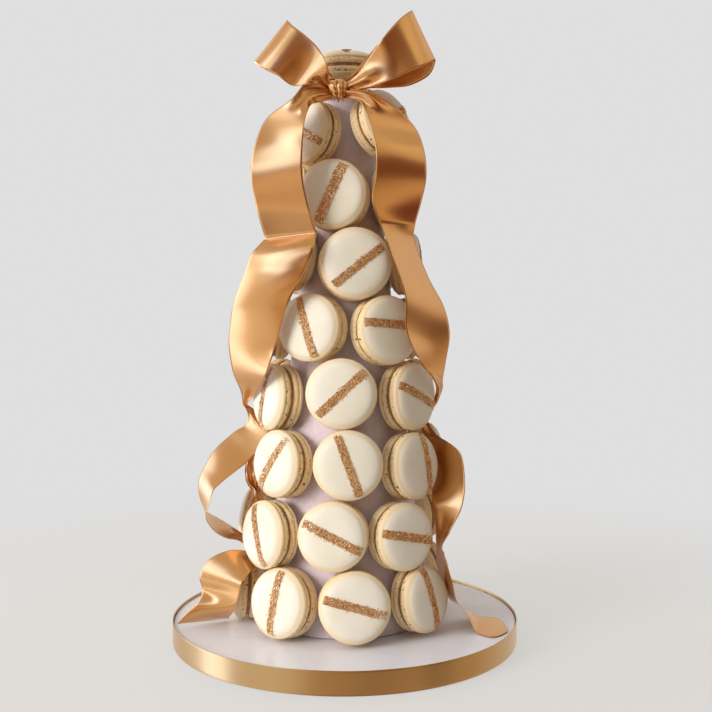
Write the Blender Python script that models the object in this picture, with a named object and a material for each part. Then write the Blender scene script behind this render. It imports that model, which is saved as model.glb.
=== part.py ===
"""A macaron tower on its cake board, tied with a satin ribbon.

Metres, +Z up, with the origin at the middle of the board's underside. An
azimuth is in degrees round the tower from its front, which faces -Y, and is
positive towards +X. Heights are above the origin.
"""

import math
import random

import bmesh
import bpy
from mathutils import Matrix, Vector

MM = 0.001
GAP = 0.3 * MM

# The board is a nine-inch drum, 12 mm thick under 1.5 mm of white icing. A
# ribbon 15 mm wide runs round its edge and stands a little above the icing.
BOARD_RADIUS = 114.3 * MM
BOARD_HEIGHT = 13.5 * MM
BOARD_CHAMFER = 0.8 * MM
BAND_THICKNESS = 0.5 * MM
BAND_TOP = 15.0 * MM
BOARD_SEGMENTS = 36

# The foam cone that holds the macarons.
CONE_BOTTOM = BOARD_HEIGHT + GAP
CONE_TOP = 366.2 * MM
CONE_BASE_RADIUS = 55.8 * MM
CONE_TOP_RADIUS = 15.3 * MM
CONE_CHAMFER = 1.5 * MM
CONE_SEGMENTS = 32
CONE_SLOPE = (CONE_BASE_RADIUS - CONE_TOP_RADIUS) / (CONE_TOP - CONE_BOTTOM)

# A macaron stands on edge with its back to the cone. Its profile is in shares
# of its radius and of its thickness, from the middle of its front face.
MACARON_DIAMETER = 42.7 * MM
MACARON_THICKNESS = 22.1 * MM
MACARON_SEGMENTS = 12
MACARON_HALF = ((0.45, 0.5), (0.80, 0.42), (1.0, 0.2), (0.93, 0.06))
MACARON_PROFILE = MACARON_HALF + tuple((radius, -depth) for radius, depth in reversed(MACARON_HALF))

# The band of gold glitter across each front face, and how many times as wide it is on some.
STRIPE_LENGTH = 36.5 * MM
STRIPE_WIDTH = 5.2 * MM
WIDER_STRIPES = {"macaron_7_1": 1.25}
STRIPE_THICKNESS = 0.4 * MM

# One macaron: azimuth, height, size, extra lean in degrees, distance from the
# cone in mm, then the stripe's angle in degrees and its offset in mm.
FRONT_MACARONS = {
    1: (
        (-81.5, 35, 1.00, -3, 0.9, 62, 0),
        (-34.5, 34.5, 1.01, 3, 0.9, 85, 0),
        (6, 35.5, 1.03, 2.5, 0.8, -16, 0),
        (47.5, 34.5, 0.97, 3, 0.9, -79, 0),
    ),
    2: (
        (-49, 75.5, 1.00, -2, 2.1, -68, 0),
        (-5.5, 78.5, 1.01, 0, 1.0, -26, 0),
        (36.5, 76, 0.99, -0.5, 0.6, -13, 0),
    ),
    3: (
        (-44.5, 120, 1.00, 0.5, 0.5, 57, 0),
        (3, 121.5, 1.01, 0.5, 1.2, -70, 0),
        (49, 118.5, 0.99, 0, 0.5, -86, 6),
    ),
    4: (
        (-58.5, 161.5, 1.00, -0.5, 0.5, 80, 0),
        (-1, 165.5, 1.03, 0, 1.1, 43, 0),
        (53, 162.5, 1.01, -1.5, 0.7, -24, 0),
    ),
    5: (
        (-25, 206.5, 1.00, 0, 0.5, -71, 0),
        (34, 205, 1.02, 0, 0.8, -5, 3),
    ),
    6: (
        (-59, 252.5, 1.00, 0.5, 0.5, 25, 0),
        (9.5, 247, 1.06, -2, 0.9, 38, -2),
    ),
    7: (
        (-10, 290.5, 1.04, -2, 0.8, 67, 0),
        (65.5, 291, 0.99, -0.5, 0.5, -40, 0),
    ),
    8: (
        (-43, 331.5, 0.97, 0.5, 0.5, -30, 0),
        (45, 334, 0.98, 9, 3.9, 31, 0),
    ),
}

# The macarons behind: each row's height, then their azimuths. The two lowest
# rows leave room for the ribbon on the right.
BACK_MACARONS = {
    1: (34.2, (121, 160.5, 200, 239.5)),
    2: (76.6, (124, 170, 216, 262)),
    3: (119.8, (100, 152, 204, 256)),
    4: (163.1, (115, 177, 239)),
    5: (205.6, (94, 154.5, 214.5, 275)),
    6: (248.8, (81.5, 154, 227)),
    7: (291.8, (138, 208, 278)),
    8: (333.0, (135, 223)),
}
BACK_SIZE = 0.96
BACK_STAND_OFF = 0.6
BACK_STRIPES = random.Random(8)

# The macaron that lies flat on the cone's end.
TOP_SIZE = 0.985
TOP_STRIPE_ANGLE = 84
TOP_STRIPE_OFFSET = -3

# The satin ribbon. A station is the two edges of the ribbon at one place on
# its way, in mm: x, y, z of the one edge, then of the other.
RIBBON_THICKNESS = 0.8 * MM
LEFT_LOOP = (
    (-5, -44, 358, -6, -44, 353),
    (-9, -49, 359.5, -16, -49, 358.5),
    (-9, -55, 366.5, -23, -50, 357.5),
    (-14, -53, 377.5, -31, -47.5, 357.5),
    (-23, -50.5, 387.5, -41, -50.5, 363.5),
    (-31, -48, 394, -51, -48, 369),
    (-35, -43, 399, -56, -43, 373),
    (-32, -38, 396, -53, -37, 372),
    (-22, -35, 385, -40, -34, 366),
    (-12, -36, 372, -25, -35, 361),
    (-5, -40, 363, -13, -40, 359),
    (-2, -42, 358, -4, -42, 354),
)
RIGHT_LOOP = (
    (-5, -45, 358, -4, -45, 353),
    (2, -46, 360, 5, -46, 355),
    (9, -47.5, 365, 17, -52, 356),
    (15, -49, 372.5, 28, -54.5, 359),
    (23, -53.5, 383.5, 38, -54.5, 363.5),
    (34, -51.5, 396.5, 49, -51.5, 369),
    (42, -43, 404, 57, -42, 374),
    (38, -37, 401, 55, -37, 368),
    (28, -34, 393, 43, -34, 361),
    (16, -34, 380, 28, -35, 359),
    (5, -40, 366, 14, -41, 357),
    (-2, -42, 359, -2, -42, 354),
)
LEFT_TAIL = (
    (-7, -45, 359, -7, -45, 350),
    (-13, -47, 361, -13, -47, 348),
    (-23, -49, 359, -19, -50, 346),
    (-32, -50, 348.5, -21.5, -56, 340),
    (-47.5, -45, 338, -23.5, -61, 330.5),
    (-55, -52, 320, -24.5, -62.5, 315.5),
    (-56.5, -56, 299.5, -24, -62, 298),
    (-53.5, -54, 282.5, -21, -60, 282),
    (-49, -43, 264, -16, -53, 267),
    (-57, -46, 255, -18, -59, 257),
    (-62, -45.5, 243, -24, -59.5, 242),
    (-70.5, -40, 219, -34.5, -55, 221),
    (-73.5, -33, 199, -41.5, -51.5, 197.5),
    (-72, -28, 182, -47, -52, 182),
    (-68, -18, 166, -59, -24, 163),
    (-68, -10, 158, -64, -14, 157),
    (-65, -4, 150, -58, -4, 150),
    (-66, -2, 143, -50, -16, 139),
    (-76, -2, 136, -62, -22, 121),
    (-86, -5, 127, -70, -27, 115),
    (-93, -11, 116, -78, -33, 109),
    (-96, -17, 107, -83, -39, 104),
    (-95, -21, 97, -85, -43, 96),
    (-91, -19, 87, -87, -45, 88),
    (-85, -16, 82, -83, -43, 81),
    (-77, -15, 77, -76, -37, 74),
    (-69, -16, 73, -68, -24, 68),
    (-63, -17, 69, -62, -22, 62),
    (-58, -19, 65, -57, -25, 57),
    (-61, -22, 62, -56, -29, 55),
    (-75, -24, 62, -58, -35, 53),
    (-90, -26, 55, -62, -40, 49),
    (-94, -28, 46, -65, -43, 44),
    (-93, -26, 37, -67, -42, 36),
    (-94, -32, 31, -71, -38, 26),
    (-102, -33, 23, -74, -30, 21),
    (-108, -33, 16, -77, -17, 15),
)
RIGHT_TAIL = (
    (-4, -44, 350, -3, -44, 358),
    (1, -47, 350, 4.5, -47, 356),
    (9, -51, 348, 16, -49, 353.5),
    (14, -55, 340, 30, -49, 346),
    (17, -57, 330, 45, -47, 332),
    (20, -60, 317, 50, -50, 318),
    (20, -61, 300, 51, -50, 300),
    (18, -58, 286, 48, -45, 286),
    (23, -52, 273, 45, -38, 274),
    (27, -53, 262, 44, -35, 266),
    (31, -56, 250, 48, -34, 254),
    (36, -57, 238, 54, -33, 239),
    (39, -56, 224, 63, -37, 222),
    (39, -56, 207, 67, -36, 203),
    (44, -54, 193, 65, -34, 187),
    (52, -46, 182, 64, -30, 176),
    (59, -28, 170, 64, -17, 168),
    (57, -10, 157, 61, -7, 157),
    (50, -7, 148, 55, -10, 147),
    (51, -9, 141, 60, -20, 138),
    (55, -13, 133, 67, -27, 134),
    (56, -14, 126, 73, -32, 130),
    (57, -16, 111, 77, -36, 116),
    (57, -31, 95, 75, -42, 94),
    (59, -32, 79, 67, -44, 79),
    (59, -31, 68, 62, -48, 71),
    (60, -28, 57, 65, -48, 61),
    (64, -27, 44, 68, -48, 48),
    (69, -26, 31, 71, -50, 36),
    (75, -18, 26, 75, -47, 31),
    (81, -13, 20, 79, -43, 24),
    (90, -13, 15.5, 84, -44, 14.6),
    (102, -14, 14.6, 97, -50, 14.6),
    (104, -19, 14.6, 105, -40, 14.6),
)
# A short length of ribbon that hangs between the second and third rows.
STRAND = (
    (-64, -12, 124, -57, -17, 124),
    (-66, -14, 113, -57, -17, 113),
    (-64, -15, 104, -57, -14, 102),
    (-60, -19, 99, -55, -14, 97),
    (-62, -22, 92, -52, -17, 91),
    (-66, -23, 83, -56, -15, 85),
)

# The knot, and the gathered ribbon that ties the bow to the cone's neck.
KNOT_CENTRE = Vector((-4.5, -43.5, 355.5)) * MM
KNOT_HALF_SIZE = Vector((9.0, 7.0, 7.5)) * MM
NECK_RADIUS = 17.6
NECK_TOP = 364
NECK_BOTTOM = 356
NECK_STEP = 20
NECK_LEFT_END = ((-12, -33), (-5, -42))
NECK_RIGHT_END = ((11, -33), (-4, -42))

COLOURS = {
    "shell": ((0.84, 0.79, 0.66), 0.45, 0.0),
    "glitter": ((0.60, 0.34, 0.17), 0.35, 0.6),
    "satin": ((0.62, 0.33, 0.14), 0.30, 0.25),
    "icing": ((0.80, 0.79, 0.80), 0.60, 0.0),
    "foam": ((0.78, 0.74, 0.76), 0.80, 0.0),
}


def material(name):
    """The named material, made when it is first asked for."""
    found = bpy.data.materials.get(name)
    if found:
        return found
    colour, roughness, metallic = COLOURS[name]
    made = bpy.data.materials.new(name)
    made.use_nodes = True
    shader = made.node_tree.nodes["Principled BSDF"]
    shader.inputs["Base Color"].default_value = (*colour, 1.0)
    shader.inputs["Roughness"].default_value = roughness
    shader.inputs["Metallic"].default_value = metallic
    return made


def add_object(name, bm, *material_names):
    """Turns a bmesh into an object in the scene, shaded smooth where it is round."""
    bmesh.ops.recalc_face_normals(bm, faces=bm.faces)
    mesh = bpy.data.meshes.new(name)
    bm.to_mesh(mesh)
    bm.free()
    mesh.shade_smooth()
    mesh.set_sharp_from_angle(angle=math.radians(40))
    for material_name in material_names:
        mesh.materials.append(material(material_name))
    added = bpy.data.objects.new(name, mesh)
    bpy.context.scene.collection.objects.link(added)
    return added


def ring(bm, radius, height, segments):
    """A circle of vertices about Z."""
    turn = 2 * math.pi / segments
    return [
        bm.verts.new((radius * math.cos(k * turn), radius * math.sin(k * turn), height))
        for k in range(segments)
    ]


def join_rings(bm, rings):
    """The faces between each ring of vertices and the next, in order."""
    for one, other in zip(rings, rings[1:]):
        for k in range(len(one)):
            after = (k + 1) % len(one)
            bm.faces.new((one[k], one[after], other[after], other[k]))


def turned(name, outline, segments, material_name, hollow=False):
    """A solid turned about Z from (radius, height) points; a hollow one closes on itself."""
    bm = bmesh.new()
    rings = [ring(bm, radius, height, segments) for radius, height in outline]
    if hollow:
        join_rings(bm, rings + rings[:1])
    else:
        join_rings(bm, rings)
        bm.faces.new(rings[0])
        bm.faces.new(rings[-1])
    return add_object(name, bm, material_name)


def cut_stripe(bm, offset, width):
    """Cuts the stripe's outline into the front shell and raises what lies inside it."""

    def in_front(face):
        return face.calc_center_median().z > 0.2 * MACARON_THICKNESS

    def across(face):
        return abs(face.calc_center_median().y - offset) < width / 2

    def along(face):
        return abs(face.calc_center_median().x) < STRIPE_LENGTH / 2

    def bisect(faces, point, normal):
        edges = {edge for face in faces for edge in face.edges}
        verts = {vert for face in faces for vert in face.verts}
        cut = [*faces, *edges, *verts]
        bmesh.ops.bisect_plane(bm, geom=cut, dist=1e-6, plane_co=point, plane_no=normal)

    for side in (-1, 1):
        front = [face for face in bm.faces if in_front(face)]
        bisect(front, (0, offset + side * width / 2, 0), (0, 1, 0))
    for side in (-1, 1):
        strip = [face for face in bm.faces if in_front(face) and across(face)]
        bisect(strip, (side * STRIPE_LENGTH / 2, 0, 0), (1, 0, 0))
    stripe = [face for face in bm.faces if in_front(face) and across(face) and along(face)]
    for face in stripe:
        face.material_index = 1
    raised = bmesh.ops.extrude_face_region(bm, geom=stripe)["geom"]
    bmesh.ops.delete(bm, geom=stripe, context="FACES_ONLY")
    lifted = [item for item in raised if isinstance(item, bmesh.types.BMVert)]
    bmesh.ops.translate(bm, verts=lifted, vec=(0, 0, STRIPE_THICKNESS))


def macaron(name, place, size, offset):
    """A macaron with its filling's groove and its stripe along its own X, facing its own +Z."""
    bm = bmesh.new()
    radius = size * MACARON_DIAMETER / 2
    rings = [
        ring(bm, share * radius, depth * MACARON_THICKNESS, MACARON_SEGMENTS)
        for share, depth in MACARON_PROFILE
    ]
    join_rings(bm, rings)
    bm.faces.new(rings[0])
    bm.faces.new(rings[-1])
    cut_stripe(bm, offset * MM, STRIPE_WIDTH * WIDER_STRIPES.get(name, 1.0))
    made = add_object(name, bm, "shell", "glitter")
    made.matrix_world = place
    return made


def place_on_cone(azimuth, height, lean, stand_off, stripe_angle):
    """Where a macaron goes: its Z leads out from the cone and its X along its stripe."""
    angle = math.radians(azimuth)
    tilt = math.atan(CONE_SLOPE) + math.radians(lean)
    outward = Vector((math.sin(angle), -math.cos(angle), 0))
    normal = outward * math.cos(tilt) + Vector((0, 0, math.sin(tilt)))
    sideways = Vector((math.cos(angle), math.sin(angle), 0))
    upward = normal.cross(sideways)
    cone_radius = CONE_BASE_RADIUS - CONE_SLOPE * (height * MM - CONE_BOTTOM)
    centre = outward * cone_radius + Vector((0, 0, height * MM))
    centre += normal * (MACARON_THICKNESS / 2 + stand_off * MM)
    axes = Matrix((sideways, upward, normal)).transposed().to_4x4()
    return Matrix.Translation(centre) @ axes @ Matrix.Rotation(math.radians(stripe_angle), 4, "Z")


def macaron_rows():
    """Every macaron on the cone, row by row from the board up."""
    for row, front in FRONT_MACARONS.items():
        for number, (azimuth, height, size, lean, stand_off, angle, offset) in enumerate(front, 1):
            place = place_on_cone(azimuth, height, lean, stand_off, angle)
            macaron(f"macaron_{row}_{number}", place, size, offset)
        height, azimuths = BACK_MACARONS[row]
        for number, azimuth in enumerate(azimuths, len(front) + 1):
            angle = BACK_STRIPES.uniform(-90, 90)
            place = place_on_cone(azimuth, height, 0, BACK_STAND_OFF, angle)
            macaron(f"macaron_{row}_{number}", place, BACK_SIZE, 0)


def top_macaron():
    height = CONE_TOP + GAP + MACARON_THICKNESS / 2
    turn = Matrix.Rotation(math.radians(TOP_STRIPE_ANGLE), 4, "Z")
    macaron("macaron_top", Matrix.Translation((0, 0, height)) @ turn, TOP_SIZE, TOP_STRIPE_OFFSET)


def strip(name, stations):
    """A strip of ribbon lofted through its stations, half its thickness to each side of them.

    Its two faces are split into triangles alike, so that they never cross where the ribbon twists.
    """
    edges = [(Vector(station[:3]) * MM, Vector(station[3:]) * MM) for station in stations]
    middles = [(one + other) / 2 for one, other in edges]
    bm = bmesh.new()
    sections = []
    for k, (one, other) in enumerate(edges):
        before = middles[max(k - 1, 0)]
        after = middles[min(k + 1, len(middles) - 1)]
        offset = (other - one).cross(after - before).normalized() * RIBBON_THICKNESS / 2
        corners = (one + offset, other + offset, other - offset, one - offset)
        sections.append([bm.verts.new(corner) for corner in corners])
    for section, following in zip(sections, sections[1:]):
        for first, second, diagonal in ((0, 1, 0), (1, 2, 1), (2, 3, 3), (3, 0, 0)):
            one, other = section[first], section[second]
            one_after, other_after = following[first], following[second]
            if diagonal == first:
                bm.faces.new((one, other, other_after))
                bm.faces.new((one, other_after, one_after))
            else:
                bm.faces.new((one, other, one_after))
                bm.faces.new((other, other_after, one_after))
    bm.faces.new(sections[0])
    bm.faces.new(sections[-1])
    return add_object(name, bm, "satin")


def neck_stations():
    """The way of the gathered ribbon round the cone's neck, from the knot back to the knot."""
    start = 50
    angles = range(start, 361 - start, NECK_STEP)
    round_neck = [
        (-NECK_RADIUS * math.sin(math.radians(a)), -NECK_RADIUS * math.cos(math.radians(a))) for a in angles
    ]
    way = [*reversed(NECK_LEFT_END), *round_neck, *NECK_RIGHT_END]
    return [(x, y, NECK_TOP, x, y, NECK_BOTTOM) for x, y in way]


def tied_ribbon():
    """The knot, with both loops, both tails and the neck joined into it."""
    bm = bmesh.new()
    bmesh.ops.create_uvsphere(bm, u_segments=10, v_segments=7, radius=1.0)
    bmesh.ops.scale(bm, vec=KNOT_HALF_SIZE, verts=bm.verts)
    bmesh.ops.translate(bm, vec=KNOT_CENTRE, verts=bm.verts)
    bow = add_object("bow_ribbon", bm, "satin")
    pieces = {
        "left_loop": LEFT_LOOP,
        "right_loop": RIGHT_LOOP,
        "left_tail": LEFT_TAIL,
        "right_tail": RIGHT_TAIL,
        "neck": neck_stations(),
    }
    for name, stations in pieces.items():
        piece = strip(name, stations)
        piece.hide_render = True
        piece.display_type = "WIRE"
        joined = bow.modifiers.new(name, "BOOLEAN")
        joined.operation = "UNION"
        joined.object = piece


def board_and_cone():
    inner = BOARD_RADIUS - BOARD_CHAMFER
    outline = ((BOARD_RADIUS, 0), (BOARD_RADIUS, BOARD_HEIGHT - BOARD_CHAMFER), (inner, BOARD_HEIGHT))
    turned("cake_board", outline, BOARD_SEGMENTS, "icing")
    inside = BOARD_RADIUS + GAP
    outside = inside + BAND_THICKNESS
    outline = ((inside, GAP), (outside, GAP), (outside, BAND_TOP), (inside, BAND_TOP))
    turned("board_ribbon", outline, BOARD_SEGMENTS, "satin", hollow=True)
    shoulder = (CONE_TOP_RADIUS, CONE_TOP - CONE_CHAMFER)
    end = (CONE_TOP_RADIUS - CONE_CHAMFER, CONE_TOP)
    turned("cone", ((CONE_BASE_RADIUS, CONE_BOTTOM), shoulder, end), CONE_SEGMENTS, "foam")


for existing in list(bpy.data.objects):
    bpy.data.objects.remove(existing)
board_and_cone()
macaron_rows()
top_macaron()
tied_ribbon()
strip("ribbon_strand", STRAND)
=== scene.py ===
"""The looks of a tower of ivory macarons, tied with copper satin ribbon, on its white board."""

import math
import random

import bmesh
import bpy
import numpy as np
from mathutils import Matrix, Vector, noise


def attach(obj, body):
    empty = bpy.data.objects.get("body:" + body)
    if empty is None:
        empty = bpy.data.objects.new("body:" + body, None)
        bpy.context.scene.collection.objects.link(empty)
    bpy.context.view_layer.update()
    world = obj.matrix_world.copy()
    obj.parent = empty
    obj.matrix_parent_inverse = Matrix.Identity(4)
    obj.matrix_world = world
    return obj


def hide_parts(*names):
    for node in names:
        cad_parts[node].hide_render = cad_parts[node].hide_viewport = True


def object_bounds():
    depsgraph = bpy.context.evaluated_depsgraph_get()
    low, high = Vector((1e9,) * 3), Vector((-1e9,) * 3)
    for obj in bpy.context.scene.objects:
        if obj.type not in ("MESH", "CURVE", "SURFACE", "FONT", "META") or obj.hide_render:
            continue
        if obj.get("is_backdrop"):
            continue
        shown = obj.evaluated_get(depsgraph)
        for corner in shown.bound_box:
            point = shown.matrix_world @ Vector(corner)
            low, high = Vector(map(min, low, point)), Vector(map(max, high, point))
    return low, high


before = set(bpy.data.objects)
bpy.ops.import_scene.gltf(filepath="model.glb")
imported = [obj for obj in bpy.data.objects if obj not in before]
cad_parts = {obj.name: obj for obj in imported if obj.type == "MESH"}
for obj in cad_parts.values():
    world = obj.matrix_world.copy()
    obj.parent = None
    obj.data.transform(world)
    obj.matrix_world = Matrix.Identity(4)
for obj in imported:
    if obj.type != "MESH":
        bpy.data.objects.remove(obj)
CAD_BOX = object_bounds()

MM = 0.001
BODY = "root"

# The board, its edge ribbon and the cone, at the sizes of the solids, in metres.
BOARD_RADIUS = 114.3 * MM
BOARD_HEIGHT = 13.5 * MM
BAND_INSIDE = 114.6 * MM
BAND_OUTSIDE = 115.1 * MM
BAND_BOTTOM = 0.3 * MM
BAND_TOP = 15.0 * MM
CONE_BOTTOM = 13.8 * MM
CONE_TOP = 366.2 * MM
CONE_BASE_RADIUS = 55.8 * MM
CONE_TOP_RADIUS = 15.3 * MM
CONE_SLOPE = (CONE_BASE_RADIUS - CONE_TOP_RADIUS) / (CONE_TOP - CONE_BOTTOM)

MACARON_RADIUS = 21.35 * MM
MACARON_THICKNESS = 22.1 * MM
MACARON_SEGMENTS = 84
STRIPE_LENGTH = 40.0 * MM
STRIPE_WIDTH = 5.2 * MM
# How many times as wide the stripe of glitter is on some macarons.
WIDER_STRIPES = {"macaron_7_1": 1.25}

# One macaron: azimuth in degrees, height in mm, size, extra lean in degrees, distance
# from the cone in mm, then the stripe's angle in degrees and its offset in mm.
FRONT_MACARONS = {
    1: (
        (-81.5, 35, 1.00, -3, 0.9, 62, 0),
        (-34.5, 34.5, 1.01, 3, 0.9, 85, 0),
        (6, 35.5, 1.03, 2.5, 0.8, -16, 0),
        (47.5, 34.5, 0.97, 3, 0.9, -79, 0),
    ),
    2: (
        (-49, 75.5, 1.00, -2, 2.1, -68, 0),
        (-5.5, 78.5, 1.01, 0, 1.0, -26, 0),
        (36.5, 76, 0.99, -0.5, 0.6, -13, 0),
    ),
    3: (
        (-44.5, 120, 1.00, 0.5, 0.5, 57, 0),
        (3, 121.5, 1.01, 0.5, 1.2, -70, 0),
        (49, 118.5, 0.99, 0, 0.5, -86, 6),
    ),
    4: (
        (-58.5, 161.5, 1.00, -0.5, 0.5, 80, 0),
        (-1, 165.5, 1.03, 0, 1.1, 43, 0),
        (53, 162.5, 1.01, -1.5, 0.7, -24, 0),
    ),
    5: (
        (-25, 206.5, 1.00, 0, 0.5, -71, 0),
        (34, 205, 1.02, 0, 0.8, -5, 3),
    ),
    6: (
        (-59, 252.5, 1.00, 0.5, 0.5, 25, 0),
        (9.5, 247, 1.06, -2, 0.9, 38, -2),
    ),
    7: (
        (-10, 290.5, 1.04, -2, 0.8, 67, 0),
        (65.5, 291, 0.99, -0.5, 0.5, -40, 0),
    ),
    8: (
        (-43, 331.5, 0.97, 0.5, 0.5, -30, 0),
        (45, 334, 0.98, 9, 3.9, 31, 0),
    ),
}
# The hidden ones of each row: their height in mm, and their azimuths.
BACK_MACARONS = {
    1: (34.2, (121, 160.5, 200, 239.5)),
    2: (76.6, (124, 170, 216, 262)),
    3: (119.8, (100, 152, 204, 256)),
    4: (163.1, (115, 177, 239)),
    5: (205.6, (94, 154.5, 214.5, 275)),
    6: (248.8, (81.5, 154, 227)),
    7: (291.8, (138, 208, 278)),
    8: (333.0, (135, 223)),
}
BACK_SIZE = 0.96
BACK_STAND_OFF = 0.6
BACK_STRIPES = random.Random(8)
# The macaron that lies on the cone's top.
TOP_SIZE = 0.985
TOP_STRIPE_ANGLE = 84
TOP_STRIPE_OFFSET = -3
TOP_GAP = 0.3 * MM

# The ribbon, in mm.
RIBBON_WIDTH = 32.0
RIBBON_THICKNESS = 0.3
STRAND_WIDTH = 16.0
# Its turn round the cone's neck.
NECK_RADIUS = 17.6
NECK_BOTTOM = 356
NECK_TOP = 364
# The knot: its middle, half its depth and half its height without its folds, and its way round.
KNOT_CENTRE = (-3.8, -45.0, 355.5)
KNOT_DEPTH = 5.6
KNOT_HEIGHT = 5.4
KNOT_GIRTH = 32.0
# Half its width at its foot, how much wider that gets at its top, how far it slants, and the share by
# which its sides are lower than its middle.
KNOT_HALF_WIDTH = 4.0
KNOT_FAN = 2.8
KNOT_SLANT = 1.2
KNOT_WAIST = 0.3
# Its folds before, each from and to a share of its width, and its height; its gathers behind; and
# between which shares of the way to the front the gathers give way to the folds.
KNOT_FOLDS = ((-1.0, -0.12, 1.5), (-0.12, 0.62, 2.3), (0.62, 1.01, 1.1))
KNOT_GATHERS = 3.6
KNOT_FRONT = (0.35, 0.75)

# The ribbon's ways: at each station x, y, z of its one edge, then of its other, in mm.
LEFT_LOOP = (
    (-5, -44, 358, -6, -44, 353),
    (-9, -49, 359.5, -16, -49, 358.5),
    (-9, -55, 366.5, -23, -50, 357.5),
    (-14, -53, 377.5, -31, -47.5, 357.5),
    (-23, -50.5, 387.5, -41, -50.5, 363.5),
    (-31, -48, 394, -51, -48, 369),
    (-35, -43, 399, -56, -43, 373),
    (-32, -38, 396, -53, -37, 372),
    (-22, -35, 385, -40, -34, 366),
    (-12, -36, 372, -25, -35, 361),
    (-5, -40, 363, -13, -40, 359),
    (-2, -42, 358, -4, -42, 354),
)
RIGHT_LOOP = (
    (-5, -45, 358, -4, -45, 353),
    (2, -46, 360, 5, -46, 355),
    (9, -47.5, 365, 17, -52, 356),
    (15, -49, 372.5, 28, -54.5, 359),
    (23, -53.5, 383.5, 38, -54.5, 363.5),
    (34, -51.5, 396.5, 49, -51.5, 369),
    (42, -43, 404, 57, -42, 374),
    (38, -37, 401, 55, -37, 368),
    (28, -34, 393, 43, -34, 361),
    (16, -34, 380, 28, -35, 359),
    (5, -40, 366, 14, -41, 357),
    (-2, -42, 359, -2, -42, 354),
)
LEFT_TAIL = (
    (-7, -45, 359, -7, -45, 350),
    (-13, -47, 361, -13, -47, 348),
    (-23, -49, 359, -19, -50, 346),
    (-32, -50, 348.5, -21.5, -56, 340),
    (-47.5, -45, 338, -23.5, -61, 330.5),
    (-55, -52, 320, -24.5, -62.5, 315.5),
    (-56.5, -56, 299.5, -24, -62, 298),
    (-53.5, -54, 282.5, -21, -60, 282),
    (-49, -43, 264, -16, -53, 267),
    (-57, -46, 255, -18, -59, 257),
    (-62, -45.5, 243, -24, -59.5, 242),
    (-70.5, -40, 219, -34.5, -55, 221),
    (-73.5, -33, 199, -41.5, -51.5, 197.5),
    (-72, -28, 182, -47, -52, 182),
    (-68, -18, 166, -59, -24, 163),
    (-68, -10, 158, -64, -14, 157),
    (-65, -4, 150, -58, -4, 150),
    (-66, -2, 143, -50, -16, 139),
    (-76, -2, 136, -62, -22, 121),
    (-86, -5, 127, -70, -27, 115),
    (-93, -11, 116, -78, -33, 109),
    (-96, -17, 107, -83, -39, 104),
    (-95, -21, 97, -85, -43, 96),
    (-91, -19, 87, -87, -45, 88),
    (-85, -16, 82, -83, -43, 81),
    (-77, -15, 77, -76, -37, 74),
    (-69, -16, 73, -68, -24, 68),
    (-63, -17, 69, -62, -22, 62),
    (-58, -19, 65, -57, -25, 57),
    (-61, -22, 62, -56, -29, 55),
    (-75, -24, 62, -58, -35, 53),
    (-90, -26, 55, -62, -40, 49),
    (-94, -28, 46, -65, -43, 44),
    (-93, -26, 37, -67, -42, 36),
    (-94, -32, 31, -71, -38, 26),
    (-102, -33, 23, -74, -30, 21),
    (-108, -33, 16, -77, -17, 15),
)
RIGHT_TAIL = (
    (-4, -44, 350, -3, -44, 358),
    (1, -47, 350, 4.5, -47, 356),
    (9, -51, 348, 16, -49, 353.5),
    (14, -55, 340, 30, -49, 346),
    (17, -57, 330, 45, -47, 332),
    (20, -60, 317, 50, -50, 318),
    (20, -61, 300, 51, -50, 300),
    (18, -58, 286, 48, -45, 286),
    (23, -52, 273, 45, -38, 274),
    (27, -53, 262, 44, -35, 266),
    (31, -56, 250, 48, -34, 254),
    (36, -57, 238, 54, -33, 239),
    (39, -56, 224, 63, -37, 222),
    (39, -56, 207, 67, -36, 203),
    (44, -54, 193, 65, -34, 187),
    (52, -46, 182, 64, -30, 176),
    (59, -28, 170, 64, -17, 168),
    (57, -10, 157, 61, -7, 157),
    (50, -7, 148, 55, -10, 147),
    (51, -9, 141, 60, -20, 138),
    (55, -13, 133, 67, -27, 134),
    (56, -14, 126, 73, -32, 130),
    (57, -16, 111, 77, -36, 116),
    (57, -31, 95, 75, -42, 94),
    (59, -32, 79, 67, -44, 79),
    (59, -31, 68, 62, -48, 71),
    (60, -28, 57, 65, -48, 61),
    (64, -27, 44, 68, -48, 48),
    (69, -26, 31, 71, -50, 36),
    (75, -18, 26, 75, -47, 31),
    (81, -13, 20, 79, -43, 24),
    (90, -13, 15.5, 84, -44, 14.6),
    (102, -14, 14.6, 97, -50, 14.6),
    (104, -19, 14.6, 105, -40, 14.6),
)
# The station at which both tails are creased.
TAIL_CREASE = 8
# How far the left tail bellies out below its crease, in mm, by station.
LEFT_CROWN = {8: 0.0, 9: 1.5, 10: 3.5, 11: 4.0, 12: 2.0, 13: 0.0}
STRAND = (
    (-64, -12, 124, -57, -17, 124),
    (-66, -14, 113, -57, -17, 113),
    (-64, -15, 104, -57, -14, 102),
    (-60, -19, 99, -55, -14, 97),
    (-62, -22, 92, -52, -17, 91),
    (-66, -23, 83, -56, -15, 85),
)


def smoothstep(low, high, value):
    """0 below low, 1 above high and smooth between."""
    share = np.clip((value - low) / (high - low), 0.0, 1.0)
    return share * share * (3 - 2 * share)


# ---- materials ----


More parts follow.
